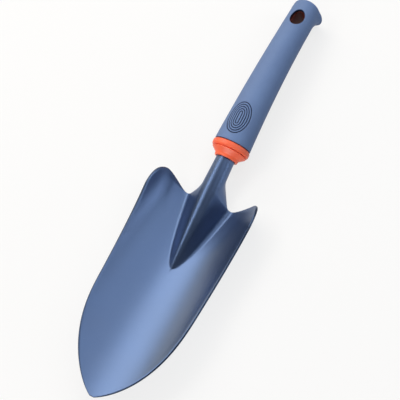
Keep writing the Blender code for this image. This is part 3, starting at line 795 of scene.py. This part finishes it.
# A hole's patch between two windows, one in the outer surface and one in the bore. Each ring
# has a point for every point of the window's border: first on the surface from the border in to
# the hole's edge, then round the lip, down the wall, and out along the bore to its window.
def holePatch(borderS, borderAngle, top):
    s0 = tool["handleLength"] - grip["holeFromButt"]
    side = 0.0 if top else math.pi
    sign = 1.0 if top else -1.0
    turned = np.mod(borderAngle - side + math.pi, 2.0 * math.pi) - math.pi

    def ellipse(grow, surface):
        a = grip["holeHalfWidth"] + grow
        b = grip["holeHalfLength"] + grow
        across = sign * surface(borderS, borderAngle) * np.sin(turned)
        theta = np.arctan2((borderS - s0) / b, across / a)
        x = a * np.cos(theta)
        s = s0 + b * np.sin(theta)
        around = sign * np.arcsin(x / surface(s, borderAngle))
        for _ in range(gripMesh["holeCorrections"]):
            around = sign * np.arcsin(x / surface(s, side + around))
        return s, around

    def onSurface(surface, grow, shares):
        s1, around1 = ellipse(grow, surface)
        share = shares[:, None]
        s = borderS + (s1 - borderS) * share
        around = turned + (around1 - turned) * share
        return roundPoints(s, side + around, surface(s, side + around))

    outer = onSurface(outerRadius, grip["holeLip"], np.linspace(0.0, 1.0, gripMesh["holeSurfaceRings"]))
    corner = onSurface(outerRadius, 0.0, np.ones(1))[0]
    inner = onSurface(boreRadius, 0.0, np.linspace(1.0, 0.0, gripMesh["holeBoreRings"]))
    down = inner[0] - corner
    down = down / np.linalg.norm(down, axis=1, keepdims=True)
    below = corner + grip["holeLip"] * down
    t = np.linspace(0.0, 1.0, gripMesh["holeLipRings"])[1:, None, None]
    lip = (1.0 - t) ** 2 * outer[-1] + 2.0 * t * (1.0 - t) * corner + t * t * below
    w = np.linspace(0.0, 1.0, gripMesh["holeWallRings"])[1:-1, None, None]
    wall = below + (inner[0] - below) * w
    rings = np.concatenate([outer, lip, wall, inner])
    # Painted shade: none on the surface, rising round the lip, full down the wall and along the bore.
    shadeShare = np.concatenate([np.zeros(len(outer)), t.ravel(), np.ones(len(wall) + len(inner))])
    paintedShade = np.broadcast_to(shadeShare[:, None], rings.shape[:2])
    return rings, gridFaces(len(rings), rings.shape[1], closed=True), paintedShade


# The grip's rings run from the butt's pole over the outside to the front, and back inside
# along the bore to its end. Columns crowd round the thumb pad on top.
def makeGrip():
    end = tool["handleLength"]
    fine = np.radians(np.linspace(*gripMesh["fineColumns"]))
    coarse = np.radians(np.linspace(*gripMesh["coarseColumns"]))[1:-1]
    angle = np.roll(np.concatenate([fine, coarse]), -gripMesh["startColumn"])
    hole = end - grip["holeFromButt"]
    reach, spread = grip["holeWindow"]

    padStart = thumbPad["centre"] - gripMesh["padReach"]
    padEnd = thumbPad["centre"] + gripMesh["padReach"]
    padRows = np.linspace(padStart, padEnd, gripMesh["padRows"])
    frontRows = np.linspace(gripStart + grip["frontEdge"], padRows[0], gripMesh["frontRows"])[:-1]
    middleRows = np.linspace(padRows[-1], hole - reach, gripMesh["middleRows"])[1:-1]
    holeRows = np.linspace(hole - reach, hole + reach, gripMesh["holeRows"])
    heelRows = np.linspace(hole + reach, end - grip["buttEdge"], gripMesh["heelRows"])[1:]
    body = np.concatenate([frontRows, padRows, middleRows, holeRows, heelRows])[::-1]

    full = gripRadius(np.array([end])) + heelFlare(np.array([end]), angle)
    turn = np.linspace(0.0, 0.5 * math.pi, gripMesh["buttEdgeRows"])[:, None]
    share = np.linspace(0.0, 1.0, gripMesh["crownRows"])[:-1, None]
    butt = end - grip["buttInset"]
    crownS = butt + grip["buttCrown"] * (1.0 - share ** 2)
    crownR = share * (full - grip["buttEdge"])
    edgeS = butt - grip["buttEdge"] * (1.0 - np.cos(turn))
    edgeR = full - grip["buttEdge"] * (1.0 - np.sin(turn))
    bodyS = body[1:, None]
    bodyR = outerRadius(bodyS, angle[None, :])
    frontTurn = np.linspace(0.0, 0.5 * math.pi, gripMesh["frontEdgeRows"])[1:, None]
    frontS = gripStart + grip["frontEdge"] * (1.0 - np.sin(frontTurn))
    frontR = gripRadius(np.array([gripStart])) - grip["frontEdge"] * (1.0 - np.cos(frontTurn)) + 0.0 * angle
    boreEnd = end - grip["endWall"]
    boreFront = np.linspace(gripStart, hole - reach, gripMesh["boreRows"])[:-1]
    boreRear = np.linspace(hole + reach, boreEnd, gripMesh["boreEndRows"])[1:]
    boreS = np.concatenate([boreFront, holeRows, boreRear])[:, None]
    boreR = boreRadius(boreS, angle[None, :])
    inward = np.linspace(1.0, 0.0, gripMesh["poleRows"])[1:, None]
    poleS = np.full(inward.shape, boreEnd)
    poleR = inward * boreRadius(np.array([[boreEnd]]), angle[None, :])

    blocks = [(crownS, crownR), (edgeS, edgeR), (bodyS, bodyR), (frontS, frontR), (boreS, boreR),
              (poleS, poleR)]
    radius = np.vstack([np.broadcast_to(r, (len(s), len(angle))) for s, r in blocks])
    s = np.vstack([np.broadcast_to(s, (len(s), len(angle))) for s, r in blocks])
    turned = np.broadcast_to(angle, s.shape)
    points = roundPoints(s, turned, radius)

    bodyAt = len(crownS) + len(edgeS)
    rowAt = bodyAt + int(np.argmin(np.abs(body[1:] - (hole + reach))))
    outerRows = (rowAt, rowAt + len(holeRows) - 1)
    boreAt = bodyAt + len(bodyS) + len(frontS) + len(boreFront)
    boreRows = (boreAt, boreAt + len(holeRows) - 1)
    holes = []
    patches = []
    for side in (0.0, 180.0):
        away = np.abs(np.mod(np.degrees(angle) - side + 180.0, 360.0) - 180.0)
        inside = np.flatnonzero(away <= spread)
        left, right = int(inside[0]), int(inside[-1])
        holes.append((outerRows[0], outerRows[1], left, right))
        holes.append((boreRows[0], boreRows[1], left, right))
        rows = np.arange(outerRows[0], outerRows[1] + 1)
        columns = np.arange(left, right + 1)
        loopRows = np.concatenate([np.full(len(columns), rows[0]), rows[1:],
                                   np.full(len(columns) - 1, rows[-1]), rows[-2:0:-1]])
        loopColumns = np.concatenate([columns, np.full(len(rows) - 1, columns[-1]),
                                      columns[-2::-1], np.full(len(rows) - 2, columns[0])])
        patches.append(holePatch(s[loopRows, loopColumns], turned[loopRows, loopColumns], side == 0.0))
    paintedShade = np.zeros(s.shape)
    # Painted shade in the thumb pad's grooves.
    paintedShade[bodyAt:bodyAt + len(bodyS)] = padCarving(bodyS, angle[None, :])[1]
    shell = (points, gridFaces(len(s), len(angle), closed=True, holes=holes), paintedShade)
    return makePiece("gripSleeve", [shell] + patches, softRubber)


gripSleeve = makeGrip()
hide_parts("grip")


# The core lines the hanging hole and is given the collar's orange darkened as painted shade; the pin is hidden
# in it. Both keep their own shapes.
for nodeName, material in (("handle_core", coreShadedOrange), ("tang_pin", pinSteel)):
    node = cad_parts[nodeName]
    node.data.materials.clear()
    node.data.materials.append(material)
print("core and pin dressed")


# Floor, lights and camera

stage = {
    "floorSize": 40.0,
    "floorDrop": 0.0002,          # the floor lies this far under the trowel
    "floorColor": (0.80, 0.80, 0.80),
    "floorWhite": 0.76,           # share of plain white in the pale floor
    "bounceColor": (0.15, 0.15, 0.15),
    "worldColor": (0.80, 0.86, 0.95),
    "worldStrength": 0.06,
}

# The camera looks at target from azimuth (0 looks along +Y) and elevation, rolled by roll.
camera = {
    "azimuth": 49.6715,
    "elevation": 66.4598,
    "roll": -23.5757,
    "distance": 0.719015,
    "target": (-0.0006803, -0.0095328, 0.020),
    "pixelsPerMetre": 1425.7,     # at the target
    "frame": 400,
    "sensor": 36.0,
    "clipStart": 0.01,
}


# Axes of the camera: right, up, and back towards it.
def cameraAxes(azimuth, elevation, roll):
    back = np.array([math.sin(azimuth) * math.cos(elevation), -math.cos(azimuth) * math.cos(elevation),
                     math.sin(elevation)])
    level = np.array([math.cos(azimuth), math.sin(azimuth), 0.0])
    over = np.cross(back, level)
    right = math.cos(roll) * level + math.sin(roll) * over
    up = math.cos(roll) * over - math.sin(roll) * level
    return right, up, back


cameraTurns = (math.radians(camera[name]) for name in ("azimuth", "elevation", "roll"))
right, up, back = cameraAxes(*cameraTurns)


def placeByAxes(obj, position, axes):
    matrix = np.eye(4)
    matrix[:3, 0], matrix[:3, 1], matrix[:3, 2] = axes
    matrix[:3, 3] = position
    obj.matrix_world = Matrix(matrix.tolist())


def makeCamera():
    data = bpy.data.cameras.new("photoCamera")
    data.sensor_width = camera["sensor"]
    data.lens = camera["distance"] * camera["pixelsPerMetre"] / camera["frame"] * camera["sensor"]
    data.clip_start = camera["clipStart"]
    obj = bpy.data.objects.new("photoCamera", data)
    bpy.context.scene.collection.objects.link(obj)
    position = np.array(camera["target"]) + camera["distance"] * back
    placeByAxes(obj, position, (right, up, back))
    bpy.context.scene.camera = obj


makeCamera()

# Each lamp stands in a direction from the trowel (azimuth from +X towards +Y, elevation above the
# floor) and faces it. Size is level width by height.
lamps = {
    "keyPanel": {"azimuth": 138.0, "elevation": 44.0, "distance": 1.3, "size": (1.1, 0.8), "power": 11.4,
                 "color": (1.0, 0.945, 0.855)},
    "skyPanel": {"azimuth": 70.0, "elevation": 58.0, "distance": 1.4, "size": (1.6, 0.8), "power": 7.5,
                 "color": (0.97, 0.99, 1.0)},
    "wingPanel": {"azimuth": 28.0, "elevation": 34.0, "distance": 1.3, "size": (0.50, 0.42), "power": 1.5,
                  "color": (0.97, 0.99, 1.0)},
    "sidePanel": {"azimuth": 19.0, "elevation": 13.0, "distance": 1.3, "size": (0.42, 0.26), "power": 1.7,
                  "color": (0.97, 0.99, 1.0)},
    "warmPanel": {"azimuth": 160.0, "elevation": 13.0, "distance": 1.3, "size": (0.5, 0.4), "power": 2.1,
                  "color": (1.0, 0.73, 0.43)},
    "crestPanel": {"azimuth": 192.0, "elevation": 55.0, "distance": 1.3, "size": (0.4, 0.4), "power": 2.8,
                   "color": (1.0, 0.98, 0.94)},
    "frontFill": {"azimuth": 270.0, "elevation": 13.0, "distance": 1.3, "size": (0.9, 0.4), "power": 14.0,
                  "color": (1.0, 0.98, 0.95)},
}


def makeLamp(name, lamp):
    data = bpy.data.lights.new(name, "AREA")
    data.shape = "RECTANGLE"
    data.size, data.size_y = lamp["size"]
    data.energy = lamp["power"]
    data.color = lamp["color"]
    obj = bpy.data.objects.new(name, data)
    bpy.context.scene.collection.objects.link(obj)
    azimuth = math.radians(lamp["azimuth"])
    elevation = math.radians(lamp["elevation"])
    toward = np.array([math.cos(azimuth) * math.cos(elevation), math.sin(azimuth) * math.cos(elevation),
                       math.sin(elevation)])
    side = np.array([-math.sin(azimuth), math.cos(azimuth), 0.0])
    position = np.array(camera["target"]) + lamp["distance"] * toward
    placeByAxes(obj, position, (side, np.cross(toward, side), toward))


for lampName, lampValues in lamps.items():
    makeLamp(lampName, lampValues)


# The camera, gloss and glass see a pale floor: a share of plain white over the trowel's soft
# shadow. To every other ray the floor is darker, so it bounces less light on the trowel.
def makeFloor():
    material = bpy.data.materials.new("studioFloor")
    material.use_nodes = True
    tree = material.node_tree
    tree.nodes.clear()
    output = nodeOf(tree, "ShaderNodeOutputMaterial", (600, 0))
    path = nodeOf(tree, "ShaderNodeLightPath", (-600, 300))
    seen = nodeOf(tree, "ShaderNodeMath", (-350, 300), operation="MAXIMUM")
    through = nodeOf(tree, "ShaderNodeMath", (-100, 300), operation="MAXIMUM")
    bounce = nodeOf(tree, "ShaderNodeBsdfDiffuse", (-100, -200))
    bounce.inputs["Color"].default_value = (*stage["bounceColor"], 1.0)
    shaded = nodeOf(tree, "ShaderNodeBsdfDiffuse", (-350, 0))
    shaded.inputs["Color"].default_value = (*stage["floorColor"], 1.0)
    white = nodeOf(tree, "ShaderNodeEmission", (-350, 150))
    pale = nodeOf(tree, "ShaderNodeMixShader", (-100, 100), Fac=stage["floorWhite"])
    mix = nodeOf(tree, "ShaderNodeMixShader", (300, 0))
    link = tree.links.new
    link(path.outputs["Is Camera Ray"], seen.inputs[0])
    link(path.outputs["Is Glossy Ray"], seen.inputs[1])
    link(seen.outputs["Value"], through.inputs[0])
    link(path.outputs["Is Transmission Ray"], through.inputs[1])
    link(shaded.outputs["BSDF"], pale.inputs[1])
    link(white.outputs["Emission"], pale.inputs[2])
    link(through.outputs["Value"], mix.inputs["Fac"])
    link(bounce.outputs["BSDF"], mix.inputs[1])
    link(pale.outputs["Shader"], mix.inputs[2])
    link(mix.outputs["Shader"], output.inputs["Surface"])
    half = 0.5 * stage["floorSize"]
    mesh = bpy.data.meshes.new("studioFloor")
    low = -stage["floorDrop"]
    corners = [(-half, -half, low), (half, -half, low), (half, half, low), (-half, half, low)]
    mesh.from_pydata(corners, [], [(0, 1, 2, 3)])
    mesh.materials.append(material)
    floor = bpy.data.objects.new("studioFloor", mesh)
    bpy.context.scene.collection.objects.link(floor)


makeFloor()


def makeWorld():
    world = bpy.data.worlds.new("studioWorld")
    world.use_nodes = True
    tree = world.node_tree
    tree.nodes.clear()
    output = nodeOf(tree, "ShaderNodeOutputWorld", (400, 0))
    light = nodeOf(tree, "ShaderNodeBackground", (100, 0))
    light.inputs["Color"].default_value = (*stage["worldColor"], 1.0)
    light.inputs["Strength"].default_value = stage["worldStrength"]
    tree.links.new(light.outputs["Background"], output.inputs["Surface"])
    bpy.context.scene.world = world


makeWorld()
bpy.context.scene.view_settings.view_transform = "Standard"
print("floor, lights and camera set")
